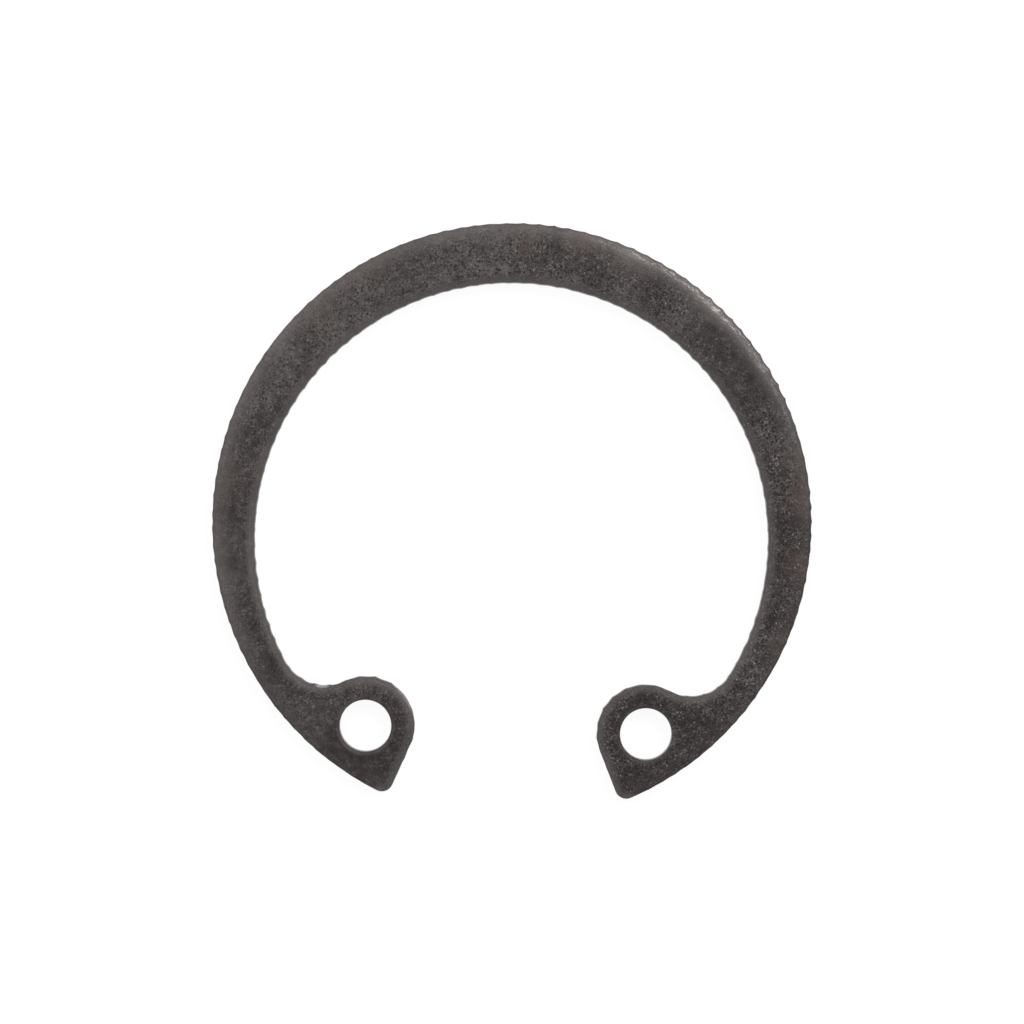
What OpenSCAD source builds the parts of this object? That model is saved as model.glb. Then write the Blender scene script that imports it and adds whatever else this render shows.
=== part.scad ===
// Retaining ring for a bore of 25 mm: one flat stamped C of spring steel.
// The beam narrows from the back towards the gap, and each end is a lug with a
// hole for the pliers. The ring lies flat on z = 0, its centre on the Z axis,
// its back towards +Y and its gap towards -Y. Sizes are in millimetres.

/* [Ring] */
// Outside diameter of the free ring
free_diameter = 26.9; // [26:0.1:28.5]
// Thickness of the strip
thickness = 1.2; // [1:0.05:1.75]
// Width of the beam at the back, its widest place
beam_width = 2.66; // [2.5:0.02:2.9]
// Offset of the inner circle towards the gap, which tapers the beam
beam_taper = 0.76; // [0.5:0.02:0.9]

/* [Lugs] */
// Radial depth of a lug, from the outside of the ring to the crown
lug_depth = 4.42; // [4.2:0.02:4.8]
// Diameter of the hole for the pliers
hole_diameter = 2.32; // [2:0.02:2.6]
// Distance between the middles of the two holes
hole_spacing = 12.6; // [11:0.1:14]
// Wall left between a hole and the crown of its lug
lug_wall = 1.04; // [0.8:0.02:1.3]
// Radius of the hollow where a lug grows out of the beam
neck_radius = 2.05; // [1.6:0.05:2.4]
// Radius of the outer corner at the end of a lug
tip_radius = 0.52; // [0.5:0.01:0.7]

/* [Edges] */
// Width of the rounding that the punch draws along the upper edges
roll_width = 0.36; // [0.24:0.02:0.38]
// Depth of that rounding
roll_depth = 0.14; // [0.08:0.01:0.2]
// Width of the narrower rounding round the holes
hole_roll = 0.2; // [0.12:0.01:0.3]
// Radius of the tumbled lower edges
lower_radius = 0.1; // [0.05:0.01:0.14]

/* [Hidden] */
$fn = 96;
over = 1;
outer_r = free_diameter / 2;
inner_r = outer_r - beam_width + beam_taper;
hole_r = hole_diameter / 2;
ear_r = hole_r + lug_wall;
inner_mid = [0, -beam_taper];

// Rounds of the outline cross their neighbours by this much, so that no two faces only touch.
blend = 0.005;

// The hole sits behind the crown. The end face runs along a radius of the ring and
// meets the round of the ear.
hole_circle_r = outer_r - lug_depth + ear_r;
hole_angle = asin(hole_spacing / 2 / hole_circle_r);
ear_mid = hole_circle_r * [sin(hole_angle), -cos(hole_angle)];
end_angle = hole_angle - asin((ear_r - blend) / hole_circle_r);
end_dir = [sin(end_angle), -cos(end_angle)];
end_side = [cos(end_angle), sin(end_angle)];
end_start = sqrt(pow(hole_circle_r, 2) - pow(ear_r - blend, 2));

// The corner at the tip meets the end face and the outer circle.
end_stop = sqrt(pow(outer_r - tip_radius + blend, 2) - pow(tip_radius - blend, 2));
tip_mid = end_dir * end_stop + end_side * (tip_radius - blend);
tip_far = tip_mid / norm(tip_mid) * 2 * outer_r;

// The neck meets the ear from outside and the inner circle from inside, so its middle
// is where two circles about them cross.
to_inner = inner_r - neck_radius + blend;
to_ear = ear_r + neck_radius - blend;
ear_gap = norm(ear_mid - inner_mid);
ear_dir = (ear_mid - inner_mid) / ear_gap;
along = (pow(to_inner, 2) - pow(to_ear, 2) + pow(ear_gap, 2)) / (2 * ear_gap);
across = sqrt(pow(to_inner, 2) - pow(along, 2));
neck_mid = inner_mid + ear_dir * along + [-ear_dir.y, ear_dir.x] * across;
neck_far = inner_mid + (neck_mid - inner_mid) / to_inner * 2 * outer_r;

// The strip in section, its edge at x = 0 and the steel to the left of it.
module edge(width, roll) {
  height = roll_depth * roll / roll_width;
  bend = (pow(roll, 2) + pow(height, 2)) / (2 * height);
  translate([-width, 0]) square([width - lower_radius, thickness - height]);
  translate([-width, lower_radius]) square([width, thickness - height - lower_radius]);
  translate([-lower_radius, lower_radius]) circle(lower_radius);
  translate([-width, 0]) square([width - roll, thickness]);
  translate([-roll, thickness - bend]) intersection() {
    circle(bend);
    square([roll, 2 * bend]);
  }
}

// Steel inside a circle of the outline.
module disc(r) {
  rotate_extrude() intersection() {
    translate([r, 0]) edge(r + over, roll_width);
    square([r, thickness]);
  }
}

// Air inside a circle of the outline.
module opening(r, roll) {
  rotate_extrude() difference() {
    translate([0, -over]) square([r + roll + over, thickness + 2 * over]);
    translate([r, 0]) mirror([1, 0]) edge(roll + 2 * over, roll);
  }
}

// The part of the plan between these corners.
module cell(corners) {
  translate([0, 0, -over]) linear_extrude(thickness + 2 * over) polygon(corners);
}

module beam() {
  intersection() {
    difference() {
      disc(outer_r);
      translate(inner_mid) opening(inner_r, roll_width);
    }
    cell([[0, 0], neck_far + tip_far, [3 * outer_r, 3 * outer_r], [0, 3 * outer_r]]);
  }
}

module neck() {
  difference() {
    intersection() {
      disc(outer_r);
      cell([neck_mid, neck_far, tip_far, tip_mid, ear_mid]);
    }
    translate(neck_mid) opening(neck_radius, roll_width);
  }
}

module ear() {
  translate(ear_mid) disc(ear_r);
}

module end_face() {
  intersection() {
    translate(end_dir * end_start) rotate([90, 0, end_angle])
      linear_extrude(end_stop - end_start) mirror([1, 0]) edge(ear_r + over, roll_width);
    cell([end_dir * end_start - end_side, ear_mid, tip_mid, end_dir * end_stop - end_side]);
  }
}

module tip() {
  translate(tip_mid) disc(tip_radius);
}

module half_ring() {
  difference() {
    union() {
      beam();
      neck();
      ear();
      end_face();
      tip();
    }
    translate(ear_mid) opening(hole_r, hole_roll);
  }
}

module retaining_ring() {
  color([0.31, 0.29, 0.285]) {
    half_ring();
    mirror([1, 0, 0]) half_ring();
  }
}

retaining_ring();
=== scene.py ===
import math

import bmesh
import bpy
from mathutils import Matrix, Vector, kdtree, noise


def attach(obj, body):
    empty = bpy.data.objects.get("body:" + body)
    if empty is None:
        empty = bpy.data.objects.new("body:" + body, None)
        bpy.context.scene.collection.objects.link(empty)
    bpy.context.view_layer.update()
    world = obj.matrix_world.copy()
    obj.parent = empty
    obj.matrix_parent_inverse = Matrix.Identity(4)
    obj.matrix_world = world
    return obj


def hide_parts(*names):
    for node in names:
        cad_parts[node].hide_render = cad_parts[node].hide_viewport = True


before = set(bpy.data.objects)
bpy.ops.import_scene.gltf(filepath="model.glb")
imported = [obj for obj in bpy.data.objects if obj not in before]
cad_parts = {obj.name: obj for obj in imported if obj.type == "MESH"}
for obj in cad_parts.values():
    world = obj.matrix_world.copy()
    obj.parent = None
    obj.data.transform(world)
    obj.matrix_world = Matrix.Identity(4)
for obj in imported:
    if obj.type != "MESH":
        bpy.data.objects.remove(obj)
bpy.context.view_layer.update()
print("frame loaded:", sorted(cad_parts))

mm = 0.001  # meshes are drawn in millimetres and scaled to metres at the end
up = Vector((0, 0, 1))


# Small helpers

def feed(tree, socket, value):
    if isinstance(value, bpy.types.NodeSocket):
        tree.links.new(value, socket)
    else:
        socket.default_value = value


def addNode(tree, kind, inputs=None, **settings):
    made = tree.nodes.new(kind)
    for name, value in settings.items():
        setattr(made, name, value)
    for name, value in (inputs or {}).items():
        feed(tree, made.inputs[name], value)
    return made


def calc(tree, operation, *values):
    made = tree.nodes.new("ShaderNodeMath")
    made.operation = operation
    for socket, value in zip(made.inputs, values):
        feed(tree, socket, value)
    return made.outputs[0]


def times(tree, first, *others):
    for value in others:
        first = calc(tree, "MULTIPLY", first, value)
    return first


def remap(tree, value, low, high, toLow=0.0, toHigh=1.0, smooth=True):
    kind = "SMOOTHSTEP" if smooth else "LINEAR"
    return addNode(tree, "ShaderNodeMapRange", {
        "Value": value, "From Min": low, "From Max": high, "To Min": toLow, "To Max": toHigh,
    }, interpolation_type=kind).outputs["Result"]


def blendColour(tree, factor, first, second):
    made = tree.nodes.new("ShaderNodeMix")
    made.data_type = "RGBA"
    for index, value in ((0, factor), (6, first), (7, second)):  # the mix node's colour sockets
        feed(tree, made.inputs[index], value)
    return made.outputs[2]


# The ring

ring = {
    "freeDiameter": 26.9,
    "beamWidth": 2.66,
    "beamTaper": 0.76,      # how far the inner circle is set off towards the gap
    "lugDepth": 4.42,
    "holeDiameter": 2.32,
    "holeSpacing": 12.6,
    "lugWall": 1.04,
    "neckRadius": 2.05,
    "tipRadius": 0.52,
    "thickness": 1.2,
    "rollDepth": 0.14,      # where the punch has drawn the upper edges down
    "outerRoll": 0.85,      # width of that roll along the outer edge, then how steeply it falls
    "outerFall": 3.5,
    "otherRoll": 0.45,      # the same along the other edges
    "otherFall": 2.5,
    "rollLoops": (0.004, 0.012, 0.035, 0.065, 0.1, 0.14, 0.19, 0.25, 0.31, 0.38, 0.45, 0.5),
    "cornerDepth": 0.03,    # tight round at the top of the sheared wall
    "cornerWidth": 0.012,
    "holeRoll": 0.2,        # width and depth of the roll round the holes
    "holeRollDepth": 0.08,
    "lowerRadius": 0.1,     # the lower edges are tumbled round
    "lowerLoops": (0.2, 0.34),  # flat loops beside them keep the lower face whole where the edge wanders
    "edgeStep": 0.1,        # spacing of the points along the outline
    "capStep": 0.25,        # spacing of the cuts across the flat faces
    "nickPitch": 0.707,     # the shear left shallow hollows one after another along the edge
    "nickDepth": 0.055,
    "nickReach": 0.3,       # they fade out this far from the edge
    "nickSharp": 0.7,       # below 1 the ridges between them are sharp
    "nickMean": 0.7,        # taken off, so that the outline keeps its size
    "nickOuter": 0.48,      # share of the depth along the outer edge
    "nickOther": 0.62,      # and along the others
    "nickLeast": 0.2,
    "nickMore": 0.8,        # what the deepest place adds
    "nickPlace": 40,        # degrees clockwise from the back of that place
    "nickSpread": 24,
    "nickClear": 0.6,       # none this near to the middle of a tip
    # what makes their spacing and depth and the wall uneven: scale per millimetre, and size
    "nickSpacing": (0.3, 0.5),
    "nickUneven": (0.4, 1.5),
    "nickRough": (3.1, 0.3),
}


def findCentres(r):
    outer = r["freeDiameter"] / 2
    inner = outer - r["beamWidth"] + r["beamTaper"]
    ear = r["holeDiameter"] / 2 + r["lugWall"]
    reach = outer - r["lugDepth"] + ear
    holeAngle = math.asin(r["holeSpacing"] / 2 / reach)
    endAngle = holeAngle - math.asin(ear / reach)
    endDir = Vector((math.sin(endAngle), -math.cos(endAngle), 0))
    endSide = Vector((math.cos(endAngle), math.sin(endAngle), 0))
    innerMid = Vector((0, -r["beamTaper"], 0))
    earMid = reach * Vector((math.sin(holeAngle), -math.cos(holeAngle), 0))
    endStop = math.sqrt((outer - r["tipRadius"]) ** 2 - r["tipRadius"] ** 2)
    tipMid = endDir * endStop + endSide * r["tipRadius"]
    # the neck touches the ear and the inner circle, so two circles about their centres cross at its own
    toInner, toEar = inner - r["neckRadius"], ear + r["neckRadius"]
    gap = (earMid - innerMid).length
    way = (earMid - innerMid) / gap
    along = (toInner ** 2 - toEar ** 2 + gap ** 2) / (2 * gap)
    neckMid = innerMid + way * along + Vector((-way.y, way.x, 0)) * math.sqrt(toInner ** 2 - along ** 2)
    return {"outer": outer, "innerMid": innerMid, "earMid": earMid, "tipMid": tipMid, "neckMid": neckMid,
            "endSide": endSide, "endFoot": earMid - endSide * ear}


def turnArc(bm, vert, centre, toward, clockwise, step):
    start, stop = vert.co - centre, toward
    start = math.atan2(start.y, start.x)
    stop = math.atan2(stop.y, stop.x)
    angle = -((start - stop) % math.tau) if clockwise else (stop - start) % math.tau
    radius = (vert.co - centre).xy.length
    steps = max(12, round(abs(angle) * radius / step))  # the smallest arcs stay round
    made = bmesh.ops.spin(bm, geom=[vert], cent=(centre.x, centre.y, vert.co.z), axis=up, angle=angle, steps=steps)
    return made["geom_last"][0]


def drawOutline(bm, r, c, height):
    # from the back clockwise: outer edge, tip, end face, ear, neck and inner edge, then the other half
    step = r["edgeStep"]
    vert = bm.verts.new((0, c["outer"], height))
    vert = turnArc(bm, vert, Vector((0, 0, 0)), c["tipMid"], True, step)
    vert = turnArc(bm, vert, c["tipMid"], -c["endSide"], True, step / 2)
    endParts = 10
    for i in range(endParts):
        pulled = bmesh.ops.extrude_vert_indiv(bm, verts=[vert])["verts"][0]
        pulled.co.xy += (c["endFoot"].xy - vert.co.xy) / (endParts - i)
        vert = pulled
    vert = turnArc(bm, vert, c["earMid"], c["neckMid"] - c["earMid"], True, step)
    vert = turnArc(bm, vert, c["neckMid"], c["neckMid"] - c["innerMid"], False, step)
    turnArc(bm, vert, c["innerMid"], Vector((0, 1, 0)), False, step)
    bmesh.ops.mirror(bm, geom=bm.verts[:] + bm.edges[:], matrix=Matrix.Identity(4), merge_dist=0.001, axis="X")


def quarterRound(radius, steps):
    # from the wall round to the flat face: how far in, and how far down
    turns = [math.pi / 2 * i / steps for i in range(steps + 1)]
    return [(radius * (1 - math.cos(turn)), radius * math.sin(turn)) for turn in turns]


def insetLine(bm, face, line):
    # line: distance from the edge and height out of the face, from the wall inwards
    for (nearEdge, low), (farEdge, high) in zip(line, line[1:]):
        bmesh.ops.inset_region(bm, faces=[face], thickness=farEdge - nearEdge, depth=high - low,
                               use_boundary=True, use_even_offset=True)


def drawHole(bm, r, c):
    radius, lower, top = r["holeDiameter"] / 2, r["lowerRadius"], r["thickness"]
    rollSteps, turnSteps = 6, 96
    section = []
    for i in range(rollSteps + 1):
        far = r["holeRoll"] * (1 - i / rollSteps) ** 1.4  # closer together towards the wall
        section.append((radius + far, top - r["holeRollDepth"] * (1 - far / r["holeRoll"]) ** r["otherFall"]))
    section += [(radius + out, lower - down) for out, down in quarterRound(lower, 4)]
    verts = [bm.verts.new((c["earMid"].x + x, c["earMid"].y, z)) for x, z in section]
    edges = [bm.edges.new(pair) for pair in zip(verts, verts[1:])]
    bmesh.ops.spin(bm, geom=verts + edges, cent=c["earMid"], axis=up, angle=math.tau, steps=turnSteps, use_merge=True)


def wholeOf(faces):
    # the faces with their edges and points, each once and in the same order on every run
    edges = dict.fromkeys(e for f in faces for e in f.edges)
    verts = dict.fromkeys(v for f in faces for v in f.verts)
    return faces + list(edges) + list(verts)


def fillCap(bm, height, step, size):
    edges = [e for e in bm.edges if e.is_boundary and all(abs(v.co.z - height) < 1e-4 for v in e.verts)]
    made = bmesh.ops.triangle_fill(bm, edges=edges, use_beauty=True, normal=up)["geom"]
    geom = wholeOf([g for g in made if isinstance(g, bmesh.types.BMFace)])
    cuts = int(size / step)
    for axis in (Vector((1, 0, 0)), Vector((0, 1, 0))):
        for i in range(-cuts, cuts + 1):
            spot = axis * (i + 0.37) * step  # off the middle, where the outline has points already
            geom = bmesh.ops.bisect_plane(bm, geom=geom, plane_co=spot, plane_no=axis)["geom"]


def drawStrip(bm, r, c):
    drawOutline(bm, r, c, r["lowerRadius"])
    bottom = bmesh.ops.contextual_create(bm, geom=bm.edges[:])["faces"][0]
    track = [v.co.copy() for v in bottom.verts]
    if bottom.normal.z > 0:
        bottom.normal_flip()
    bottom.normal_update()
    grown = bmesh.ops.extrude_face_region(bm, geom=[bottom])["geom"]
    top = next(g for g in grown if isinstance(g, bmesh.types.BMFace))
    for v in top.verts:
        v.co.z = r["thickness"]
    bmesh.ops.recalc_face_normals(bm, faces=bm.faces[:])

    # loops for the roll of the upper edge, the round of the lower one, and flat loops beside it
    insetLine(bm, top, [(0, 0)] + [(far, 0) for far in r["rollLoops"]])
    insetLine(bm, bottom, quarterRound(r["lowerRadius"], 4) + [(far, r["lowerRadius"]) for far in r["lowerLoops"]])
    bmesh.ops.delete(bm, geom=[top, bottom], context="FACES_ONLY")

    strip = set(bm.faces)
    drawHole(bm, r, c)
    hole = wholeOf([f for f in bm.faces if f not in strip])
    bmesh.ops.mirror(bm, geom=hole, matrix=Matrix.Identity(4), merge_dist=0.0, axis="X")
    fillCap(bm, r["thickness"], r["capStep"], r["freeDiameter"] / 2)
    fillCap(bm, 0.0, r["capStep"] * 2, r["freeDiameter"] / 2)
    bmesh.ops.remove_doubles(bm, verts=bm.verts[:], dist=0.0004)
    bmesh.ops.recalc_face_normals(bm, faces=bm.faces[:])
    return track


def measureEdges(bm, r, c, track):
    # how far each point lies from the outer edge, from the rest of the outline and from the holes
    outerTree, otherTree = kdtree.KDTree(len(track)), kdtree.KDTree(len(track))
    slack = 0.002  # millimetres by which a point of the outer circle may lie inside it
    for i, point in enumerate(track):
        tree = outerTree if point.xy.length > c["outer"] - slack else otherTree
        tree.insert((point.x, point.y, 0), i)
    outerTree.balance()
    otherTree.balance()
    layer = bm.verts.layers.float_vector.new("edges")
    nearest = {}
    for v in bm.verts:
        flat = Vector((v.co.x, v.co.y, 0))
        found = (outerTree.find(flat), otherTree.find(flat))
        middle = Vector((math.copysign(c["earMid"].x, v.co.x), c["earMid"].y, 0))
        toHole = max(0.0, (flat - middle).length - r["holeDiameter"] / 2)
        v[layer] = (found[0][2], found[1][2], toHole)
        nearest[v] = min(found, key=lambda f: f[2])[1]
    return layer, nearest


def rollEdges(bm, r, layer):
    # the long roll of the outer edge and the short one of the others, joined softly
    for v in bm.verts:
        if v.co.z > r["thickness"] - 0.001:
            toOuter, toOther = v[layer][:2]
            outerRoll = max(0.0, 1 - toOuter / r["outerRoll"]) ** r["outerFall"]
            otherRoll = max(0.0, 1 - toOther / r["otherRoll"]) ** r["otherFall"]
            corner = max(0.0, 1 - min(toOuter, toOther) / r["cornerWidth"]) ** 2
            roll = r["rollDepth"] * (1 - (1 - outerRoll) * (1 - otherRoll))
            v.co.z = r["thickness"] - roll - r["cornerDepth"] * corner


def nickEdges(bm, r, c, layer, nearest, track):
    # scalloped hollows along the wall
    def uneven(spot, name):
        scale, size = r[name]
        return size * noise.noise(spot * scale)

    travelled = [0.0]
    for here, there in zip(track, track[1:] + track[:1]):
        travelled.append(travelled[-1] + (there - here).length)
    nicks = round(travelled[-1] / r["nickPitch"])
    bm.normal_update()
    for v in bm.verts:
        toOuter, toOther, toHole = v[layer]
        near, side = min(toOuter, toOther), v.normal.xy
        if near >= r["nickReach"] or toHole <= r["nickReach"] or side.length <= 0.01:
            continue
        spot = Vector((v.co.x, v.co.y, 0))
        along = travelled[nearest[v]] / travelled[-1] * nicks + uneven(spot, "nickSpacing")
        share = r["nickOuter"] if toOuter < toOther else r["nickOther"]
        depth = share * max(r["nickLeast"], 1 + uneven(spot, "nickUneven"))
        if toOuter < toOther:
            angle = math.degrees(math.atan2(spot.x, spot.y))
            depth += r["nickMore"] * math.exp(-((angle - r["nickPlace"]) / r["nickSpread"]) ** 2)
        wave = abs(math.sin(math.pi * along)) ** r["nickSharp"] - r["nickMean"]
        toTip = (Vector((abs(spot.x), spot.y, 0)) - c["tipMid"]).length
        hollow = (depth * wave + uneven(spot, "nickRough")) * min(1.0, max(0.0, toTip - r["nickClear"]))
        v.co.xy -= side.normalized() * r["nickDepth"] * (1 - near / r["nickReach"]) * hollow


def makeRing(r):
    c = findCentres(r)
    bm = bmesh.new()
    track = drawStrip(bm, r, c)
    layer, nearest = measureEdges(bm, r, c, track)
    rollEdges(bm, r, layer)
    nickEdges(bm, r, c, layer, nearest, track)
    # the faces in the same order on every run: no two of them lie equally far along this direction
    slanted = Vector((1, 97, 7919))
    bm.faces.sort(key=lambda f: f.calc_center_median().dot(slanted))
    bmesh.ops.scale(bm, vec=(mm, mm, mm), verts=bm.verts[:])
    mesh = bpy.data.meshes.new("circlip")
    bm.to_mesh(mesh)
    bm.free()
    mesh.shade_smooth()
    made = bpy.data.objects.new("circlip", mesh)
    bpy.context.scene.collection.objects.link(made)
    print("ring made:", len(mesh.vertices), "points,", sum(len(p.vertices) - 2 for p in mesh.polygons), "triangles")
    return made


circlip = makeRing(ring)


# Its finish: phosphated spring steel

phosphate = {
    # the coat from dark to light, then what shows in it and through it
    "dark": (0.0155, 0.0105, 0.0090, 1),
    "base": (0.0480, 0.0395, 0.0375, 1),
    "light": (0.122, 0.107, 0.102, 1),
    "pit": (0.010, 0.007, 0.007, 1),
    "fleck": (0.215, 0.198, 0.192, 1),
    # the lighter colour of rubbed edges and burnished walls, which along the outer roll also paints the highlight
    "wornAndHighlight": (0.150, 0.135, 0.131, 1),
    # bright streaks of worn steel, painted strongest where the highlight falls, and the pale specks
    "streakAndHighlight": (0.36, 0.34, 0.33, 1),
    # bare steel in the holes, and the colour of the painted glints
    "bareAndGlint": (0.46, 0.44, 0.425, 1),
    "specular": 0.3,
    "roughness": 0.58,
    "smoother": 0.18,       # what calm and rubbed places take off the roughness
    "bumpHeight": 0.005,    # millimetres
    # patterns from coarse to fine: scale, and how far each moves the tone
    "drift": (0.14, 0.45),
    "patches": (0.5, 0.75),
    "mottle": (2.6, 0.95),
    "grain": (17, 2.7),
    "crumbs": 12,           # these make the pits and flecks, and the dots single specks and dips
    "dots": 6.5,
    "shearLines": 9.0,
    "tone": 0.415,          # 0 is dark and 1 light
    "toneUp": 0.010,        # per millimetre towards the back
    "toneRight": -0.007,
    "calmness": 0.37,       # share of the grain that calm places take away
    "outerRubAndHighlightWidth": 0.9,        # width of the rubbed bands; the outer band also carries the painted highlight
    "otherRub": 0.45,
    "holeRub": 0.22,
    "streakRound": 28,      # scale of the streaks round the ring and across it
    "streakAcross": 7,
    # how strongly each shows
    "pitted": 0.9,
    "stained": 0.3,
    # the rubbed band and the streaks on the outer roll also paint its highlight
    "rubbedAndHighlight": 0.62,
    "streakedAndHighlight": 0.63,
    # where each begins in its pattern and where it is full
    "pitStart": (0.42, 0.34),
    "fleckStart": (0.58, 0.69),
    "fleckPatches": (0.44, 0.6),
    "dipKinds": (0.47, 0.39),
    "speckKinds": (0.78, 0.9),
    "streakStart": (0.46, 0.68),
    # from where to where each fades, by the size of a dot or the distance from an edge, and its strength at both
    "dipSize": (0.25, 0.48, 1.0, 0.0),
    "speckSize": (0.12, 0.3, 0.5, 0.0),
    "outerCalm": (0.1, 0.45, 1.0, 0.0),
    "otherCalm": (0.08, 0.35, 1.0, 0.0),
    "streakRim": (0.05, 0.14, 0.0, 1.0),
    "streakFade": (0.2, 0.45, 1.0, 0.0),
    "glintFade": (0.04, 0.12, 1.0, 0.0),
    # the same over the ring, by millimetres towards the back or to the right
    "calmUp": (-8.0, 2.0, 0.4, 1.0),
    "calmRight": (1.0, 8.0, 1.0, 0.3),
    "grainRight": (-9.0, 9.0, 0.75, 1.16),
    # the painted highlight along the outer roll, weak towards the front and the right
    "highlightUp": (-9.0, 4.0, 0.25, 1.0),
    # places on the upper face: x, y and radius in millimetres
    "faceHeight": 1.2,
    "scuffs": ((11.6, 3.3, 1.5), (10.5, -6.2, 1.4), (0.8, 12.2, 1.6)),
    "calmSpots": ((-12.4, -1.9, 2.3), (-6.6, -10.3, 3.2), (5.2, 12.1, 1.5), (8.6, 9.4, 2.2), (10.2, 7.4, 2.6)),
    # the painted highlight of the key lamp on the outer roll, at the upper right
    "keyHighlight": (8.4, 10.4, 7.6),
    # the same, then the colour
    "stains": ((0.4, 12.6, 0.9, (0.086, 0.052, 0.047, 1)), (2.9, 12.9, 1.3, (0.145, 0.102, 0.100, 1)),
               (5.2, 12.2, 1.8, (0.120, 0.089, 0.087, 1)), (-12.9, 1.5, 1.5, (0.075, 0.048, 0.045, 1)),
               (13.1, 1.4, 1.3, (0.092, 0.056, 0.052, 1)), (12.5, 3.2, 1.2, (0.076, 0.052, 0.047, 1)),
               (13.0, -1.6, 1.2, (0.092, 0.060, 0.056, 1)), (12.2, -5.1, 1.1, (0.080, 0.055, 0.051, 1)),
               (-9.0, 9.3, 1.0, (0.100, 0.064, 0.061, 1)), (-6.4, 11.2, 0.9, (0.082, 0.055, 0.052, 1))),
    # the same, then what it adds to the tone
    "shades": ((-8.2, 8.6, 2.6, 0.16), (-8.8, -8.1, 2.0, 0.2), (-6.6, -7.6, 1.4, 0.12), (10.7, -6.0, 1.3, 0.2),
               (8.8, -9.3, 1.3, -0.25), (12.9, -0.9, 2.2, -0.1), (6.8, 9.4, 1.2, 0.12), (-6.5, -10.2, 2.3, -0.16),
               (-9.2, 7.4, 1.6, -0.16), (-6.6, 11.0, 1.8, 0.08), (-1.4, 11.0, 1.4, 0.2), (4.7, 12.5, 1.3, 0.2),
               (10.7, -4.5, 1.1, 0.2), (-11.7, 4.8, 1.6, -0.08), (11.0, 4.7, 1.2, 0.12)),
    # x, y, z, radius and strength of the small glints on the edge
    "glints": ((-8.3, -7.6, 1.1, 0.36, 1.0), (-4.6, -8.1, 1.1, 0.8, 0.35)),
}


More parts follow.
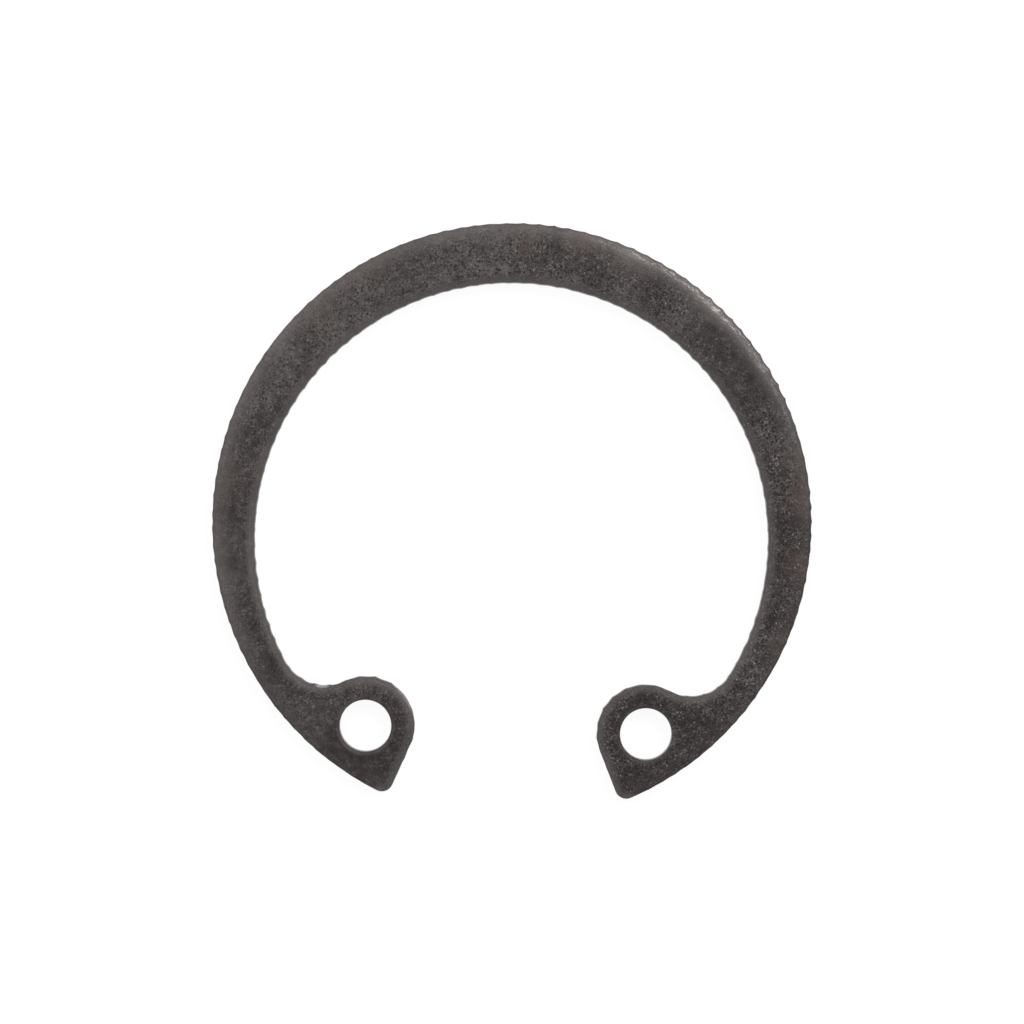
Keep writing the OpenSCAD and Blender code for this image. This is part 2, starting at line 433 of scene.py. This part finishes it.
def makePhosphate(p):
    material = bpy.data.materials.new("phosphatedSteel")
    material.use_nodes = True
    tree = material.node_tree
    tree.nodes.clear()
    place = addNode(tree, "ShaderNodeMapping", {
        "Vector": addNode(tree, "ShaderNodeTexCoord").outputs["Object"], "Scale": (1 / mm, 1 / mm, 1 / mm),
    }).outputs["Vector"]
    x, y, z = addNode(tree, "ShaderNodeSeparateXYZ", {"Vector": place}).outputs
    toOuter, toOther, toHole = addNode(tree, "ShaderNodeSeparateXYZ", {
        "Vector": addNode(tree, "ShaderNodeAttribute", attribute_name="edges").outputs["Vector"],
    }).outputs

    def cloud(scale, detail, roughness, distortion=0.0, vector=place):
        return addNode(tree, "ShaderNodeTexNoise", {
            "Vector": vector, "Scale": scale, "Detail": detail, "Roughness": roughness, "Distortion": distortion,
        }).outputs["Fac"]

    drift = cloud(p["drift"][0], 2, 0.5)
    patches = cloud(p["patches"][0], 2, 0.5)
    mottle = cloud(p["mottle"][0], 4, 0.6, 0.4)
    grain = cloud(p["grain"][0], 2, 0.8)
    crumbs = cloud(p["crumbs"], 1, 0.5, 0.6)
    dots = addNode(tree, "ShaderNodeTexVoronoi", {"Vector": place, "Scale": p["dots"]}).outputs
    dotSize = dots["Distance"]
    dotKind = addNode(tree, "ShaderNodeSeparateColor", {"Color": dots["Color"]}).outputs["Red"]

    def swing(value, size):
        return times(tree, calc(tree, "SUBTRACT", value, 0.5), size)

    def lift(value, share, rest=1.0):
        return calc(tree, "MULTIPLY_ADD", value, share, rest)

    def most(first, *others):
        for value in others:
            first = calc(tree, "MAXIMUM", first, value)
        return first

    def away(spot):
        return addNode(tree, "ShaderNodeVectorMath", {0: place, 1: spot}, operation="DISTANCE").outputs["Value"]

    def around(spotX, spotY, radius):
        # 1 in the middle of a place and 0 outside, with an uneven border
        reach = lift(patches, 0.9, calc(tree, "ADD", away((spotX, spotY, p["faceHeight"])), -0.45))
        return remap(tree, reach, 0.2 * radius, radius, 1.0, 0.0)

    # calm bands along the edges, the inner one weaker towards the lugs and the right, and calm spots
    waver = swing(patches, 0.5)
    outerBand = remap(tree, calc(tree, "ADD", toOuter, waver), *p["outerCalm"])
    otherBand = times(tree, remap(tree, lift(waver, 0.4, toOther), *p["otherCalm"]),
                      remap(tree, y, *p["calmUp"]), remap(tree, x, *p["calmRight"]))
    calm = most(outerBand, otherBand, *(times(tree, around(*spot), 1.5) for spot in p["calmSpots"]))
    grainy = times(tree, lift(calm, -p["calmness"]), remap(tree, x, *p["grainRight"]))
    scuffed = most(*(around(*spot) for spot in p["scuffs"]))

    # the coat: grey-brown, mottled and grainy, lighter towards the back, darker towards the right, and lighter in
    # some listed places and darker in others
    tone = times(tree, swing(grain, p["grain"][1]), grainy)
    for part in (swing(mottle, p["mottle"][1]), swing(patches, p["patches"][1]), swing(drift, p["drift"][1]),
                 times(tree, y, p["toneUp"]), times(tree, x, p["toneRight"]), p["tone"]):
        tone = calc(tree, "ADD", tone, part)
    for spotX, spotY, radius, change in p["shades"]:
        tone = lift(around(spotX, spotY, radius), change, tone)
    ramp = addNode(tree, "ShaderNodeValToRGB", {"Fac": tone})
    stops = ramp.color_ramp.elements
    stops[0].position, stops[0].color = 0.05, p["dark"]
    stops[1].position, stops[1].color = 0.95, p["light"]
    middle = stops.new(0.45)
    middle.color = p["base"]
    colour = ramp.outputs["Color"]

    # pits and flecks all over, and a few darker dips and pale specks
    pits = times(tree, remap(tree, crumbs, *p["pitStart"]), grainy, p["pitted"])
    flecks = times(tree, remap(tree, crumbs, *p["fleckStart"]), remap(tree, mottle, *p["fleckPatches"]),
                   lift(scuffed, 0.5, 0.55), grainy)
    dips = times(tree, remap(tree, dotSize, *p["dipSize"]), remap(tree, dotKind, *p["dipKinds"]), grainy)
    specks = times(tree, remap(tree, dotSize, *p["speckSize"]), remap(tree, dotKind, *p["speckKinds"]), grainy)
    for share, name in ((pits, "pit"), (flecks, "fleck"), (dips, "pit"), (specks, "streakAndHighlight")):
        colour = blendColour(tree, share, colour, p[name])
    for spotX, spotY, radius, stain in p["stains"]:
        colour = blendColour(tree, times(tree, around(spotX, spotY, radius), p["stained"]), colour, stain)

    # the drawn-down edges are rubbed lighter; along the outer edge this lighter band is also a painted highlight,
    # weak towards the front and the right and strongest at the upper right, where the key lamp lights the roll
    highlightSpot = around(*p["keyHighlight"])
    outerRubAndHighlight = times(tree, remap(tree, toOuter, 0.0, p["outerRubAndHighlightWidth"], 1.0, 0.0, False),
                     remap(tree, lift(x, -0.5, y), *p["highlightUp"]), lift(highlightSpot, 0.5))
    rubOther = times(tree, remap(tree, toOther, 0.0, p["otherRub"], 1.2, 0.0, False),
                     lift(swing(grain, 3.0), calc(tree, "SUBTRACT", 1.0, otherBand)))
    rubHole = remap(tree, toHole, 0.0, p["holeRub"], 0.5, 0.0, False)
    rubAndHighlight = times(tree, most(outerRubAndHighlight, rubOther, rubHole), lift(patches, 0.9, 0.55))
    colour = blendColour(tree, times(tree, rubAndHighlight, p["rubbedAndHighlight"]), colour, p["wornAndHighlight"])

    # bright worn streaks along the outer roll, drawn out round the ring; they are painted mostly at the upper right,
    # so they are also a painted highlight of the key lamp
    turn = calc(tree, "ARCTAN2", x, y)
    fromMiddle = calc(tree, "SQRT", calc(tree, "MULTIPLY_ADD", x, x, times(tree, y, y)))
    strip = addNode(tree, "ShaderNodeCombineXYZ", {
        "X": times(tree, turn, p["streakRound"]), "Y": times(tree, fromMiddle, p["streakAcross"])})
    drawn = calc(tree, "ADD", swing(crumbs, 0.6), cloud(1.0, 3, 0.6, vector=strip.outputs["Vector"]))
    streakAndHighlight = times(tree, remap(tree, drawn, *p["streakStart"]), remap(tree, toOuter, *p["streakFade"]),
                   remap(tree, toOuter, *p["streakRim"]), lift(highlightSpot, 0.85, 0.15))
    colour = blendColour(tree, times(tree, streakAndHighlight, p["streakedAndHighlight"]), colour, p["streakAndHighlight"])

    # small glints on the upper edge
    edgeOnly = times(tree, remap(tree, toOther, *p["glintFade"]), remap(tree, z, 0.85, 1.0))
    glint = 0.0
    for spotX, spotY, spotZ, radius, strength in p["glints"]:
        near = remap(tree, away((spotX, spotY, spotZ)), 0.4 * radius, radius, strength, 0.0)
        glint = most(glint, times(tree, near, edgeOnly))

    # the sheared wall: burnished above, torn below, with fine lines down it, and bare metal in the holes; the glints
    # are painted highlights in the same bare colour, with metallic and smoother surface there too
    toWall = calc(tree, "MINIMUM", calc(tree, "MINIMUM", toOuter, toOther), toHole)
    wall = remap(tree, toWall, 0.0, 0.015, 1.0, 0.0)
    tall = addNode(tree, "ShaderNodeMapping", {"Vector": place, "Scale": (1, 1, 0.08)}).outputs["Vector"]
    lines = cloud(p["shearLines"], 2, 0.6, vector=tall)
    torn = remap(tree, calc(tree, "ADD", z, swing(patches, 0.5)), 0.3, 0.5, 1.0, 0.0)
    burnish = times(tree, wall, lift(torn, -0.7))
    colour = blendColour(tree, times(tree, burnish, lines, 0.7), colour, p["wornAndHighlight"])
    bareAndGlint = most(remap(tree, toHole, 0.0, 0.03, 0.6, 0.0), glint)
    colour = blendColour(tree, bareAndGlint, colour, p["bareAndGlint"])

    gloss = lift(glint, 0.8, most(times(tree, calm, 0.5), burnish, rubHole))
    height = times(tree, calc(tree, "ADD", grain, times(tree, mottle, 1.5)), grainy)
    height = calc(tree, "ADD", height, times(tree, lines, wall, 1.2))
    bump = addNode(tree, "ShaderNodeBump", {"Height": height, "Strength": 1.0, "Distance": p["bumpHeight"] * mm})
    shader = addNode(tree, "ShaderNodeBsdfPrincipled", {
        "Base Color": colour,
        "Metallic": most(bareAndGlint, lift(streakAndHighlight, 0.5, times(tree, rubAndHighlight, 0.4))),
        "Roughness": lift(gloss, -p["smoother"], p["roughness"]),
        "Specular IOR Level": p["specular"],
        "Normal": bump.outputs["Normal"],
    })
    addNode(tree, "ShaderNodeOutputMaterial", {"Surface": shader.outputs["BSDF"]})
    return material


circlip.data.materials.append(makePhosphate(phosphate))
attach(circlip, "root")
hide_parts("retaining_ring")
print("finish made")


# Floor, lights and camera

studio = {
    "ringTurn": 1.73,       # degrees that the ring lies turned clockwise in the picture
    "midRight": 0.0045,     # millimetres from the ring's centre to the picture's, along the picture's own axes
    "midUp": 0.489,
    "viewWidth": 45.967,    # millimetres across the picture at the top of the ring
    "viewHeight": 250,
    "sensorWidth": 36,
    "skySides": 0.54,
    "skyTop": 0.12,         # the dark round the camera, which a flat face mirrors
    "floorSize": 2.0,       # half its side, in metres
    "floorGrey": 0.8,       # what the floor throws back on the ring
    "floorGlow": 0.93,      # what the camera and mirrors see of it, and how much of that the shadow takes
    "floorShade": 0.11,
}

# soft boxes: watts, metres away, metres wide, degrees off the vertical and degrees above the picture's right
lamps = {
    "key": {"power": 0.85, "away": 0.45, "size": 0.2, "tilt": 32, "angle": 48},
    "fill": {"power": 0.45, "away": 0.45, "size": 0.3, "tilt": 35, "angle": 145},
}


def makeFloor(s):
    bm = bmesh.new()
    bmesh.ops.create_grid(bm, x_segments=1, y_segments=1, size=s["floorSize"])
    mesh = bpy.data.meshes.new("floor")
    bm.to_mesh(mesh)
    bm.free()
    floor = bpy.data.objects.new("floor", mesh)
    bpy.context.scene.collection.objects.link(floor)
    material = bpy.data.materials.new("paper")
    material.use_nodes = True
    tree = material.node_tree
    tree.nodes.clear()
    light = addNode(tree, "ShaderNodeLightPath").outputs
    mirrored = calc(tree, "MAXIMUM", light["Is Glossy Ray"], light["Is Transmission Ray"])
    seen = calc(tree, "MAXIMUM", light["Is Camera Ray"], mirrored)
    glow = addNode(tree, "ShaderNodeEmission", {"Color": (1, 1, 1, 1), "Strength": s["floorGlow"]})
    shade = addNode(tree, "ShaderNodeBsdfDiffuse", {"Color": (s["floorShade"],) * 3 + (1,)})
    white = addNode(tree, "ShaderNodeAddShader", {0: glow.outputs[0], 1: shade.outputs[0]})
    paper = addNode(tree, "ShaderNodeBsdfDiffuse", {"Color": (s["floorGrey"],) * 3 + (1,)})
    mixed = addNode(tree, "ShaderNodeMixShader", {0: seen, 1: paper.outputs[0], 2: white.outputs[0]})
    addNode(tree, "ShaderNodeOutputMaterial", {"Surface": mixed.outputs[0]})
    mesh.materials.append(material)


def makeSky(s):
    world = bpy.data.worlds.new("studio")
    bpy.context.scene.world = world
    world.use_nodes = True
    tree = world.node_tree
    tree.nodes.clear()
    cameraRay = addNode(tree, "ShaderNodeLightPath").outputs["Is Camera Ray"]
    height = addNode(tree, "ShaderNodeSeparateXYZ", {
        "Vector": addNode(tree, "ShaderNodeTexCoord").outputs["Generated"]}).outputs["Z"]
    sky = addNode(tree, "ShaderNodeBackground", {
        "Color": (1, 1, 1, 1), "Strength": remap(tree, height, 0.8, 0.97, s["skySides"], s["skyTop"])})
    seen = addNode(tree, "ShaderNodeBackground", {"Color": (1, 1, 1, 1), "Strength": 1.0})
    mixed = addNode(tree, "ShaderNodeMixShader", {0: cameraRay, 1: sky.outputs[0], 2: seen.outputs[0]})
    addNode(tree, "ShaderNodeOutputWorld", {"Surface": mixed.outputs[0]})


def makeLamp(name, box, turn):
    tilt, angle = math.radians(box["tilt"]), math.radians(box["angle"] + turn)
    toward = Vector((math.sin(tilt) * math.cos(angle), math.sin(tilt) * math.sin(angle), math.cos(tilt)))
    data = bpy.data.lights.new(name, "AREA")
    data.energy = box["power"]
    data.size = box["size"]
    lamp = bpy.data.objects.new(name, data)
    lamp.location = toward * box["away"]
    lamp.rotation_euler = toward.to_track_quat("Z", "Y").to_euler()
    bpy.context.scene.collection.objects.link(lamp)


def makeCamera(s, top):
    turn = math.radians(s["ringTurn"])
    right = Vector((math.cos(turn), math.sin(turn), 0))
    upward = Vector((-math.sin(turn), math.cos(turn), 0))
    data = bpy.data.cameras.new("camera")
    data.sensor_width = s["sensorWidth"]
    data.lens = s["sensorWidth"] * s["viewHeight"] / s["viewWidth"]
    data.clip_start = 0.01
    data.clip_end = 10
    camera = bpy.data.objects.new("camera", data)
    camera.location = (right * s["midRight"] + upward * s["midUp"] + up * (s["viewHeight"] + top)) * mm
    camera.rotation_euler = (0, 0, turn)
    bpy.context.scene.collection.objects.link(camera)
    bpy.context.scene.camera = camera


makeFloor(studio)
makeSky(studio)
for name, box in lamps.items():
    makeLamp(name, box, studio["ringTurn"])
makeCamera(studio, ring["thickness"] - ring["rollDepth"])
bpy.context.scene.view_settings.view_transform = "Standard"
print("studio made")
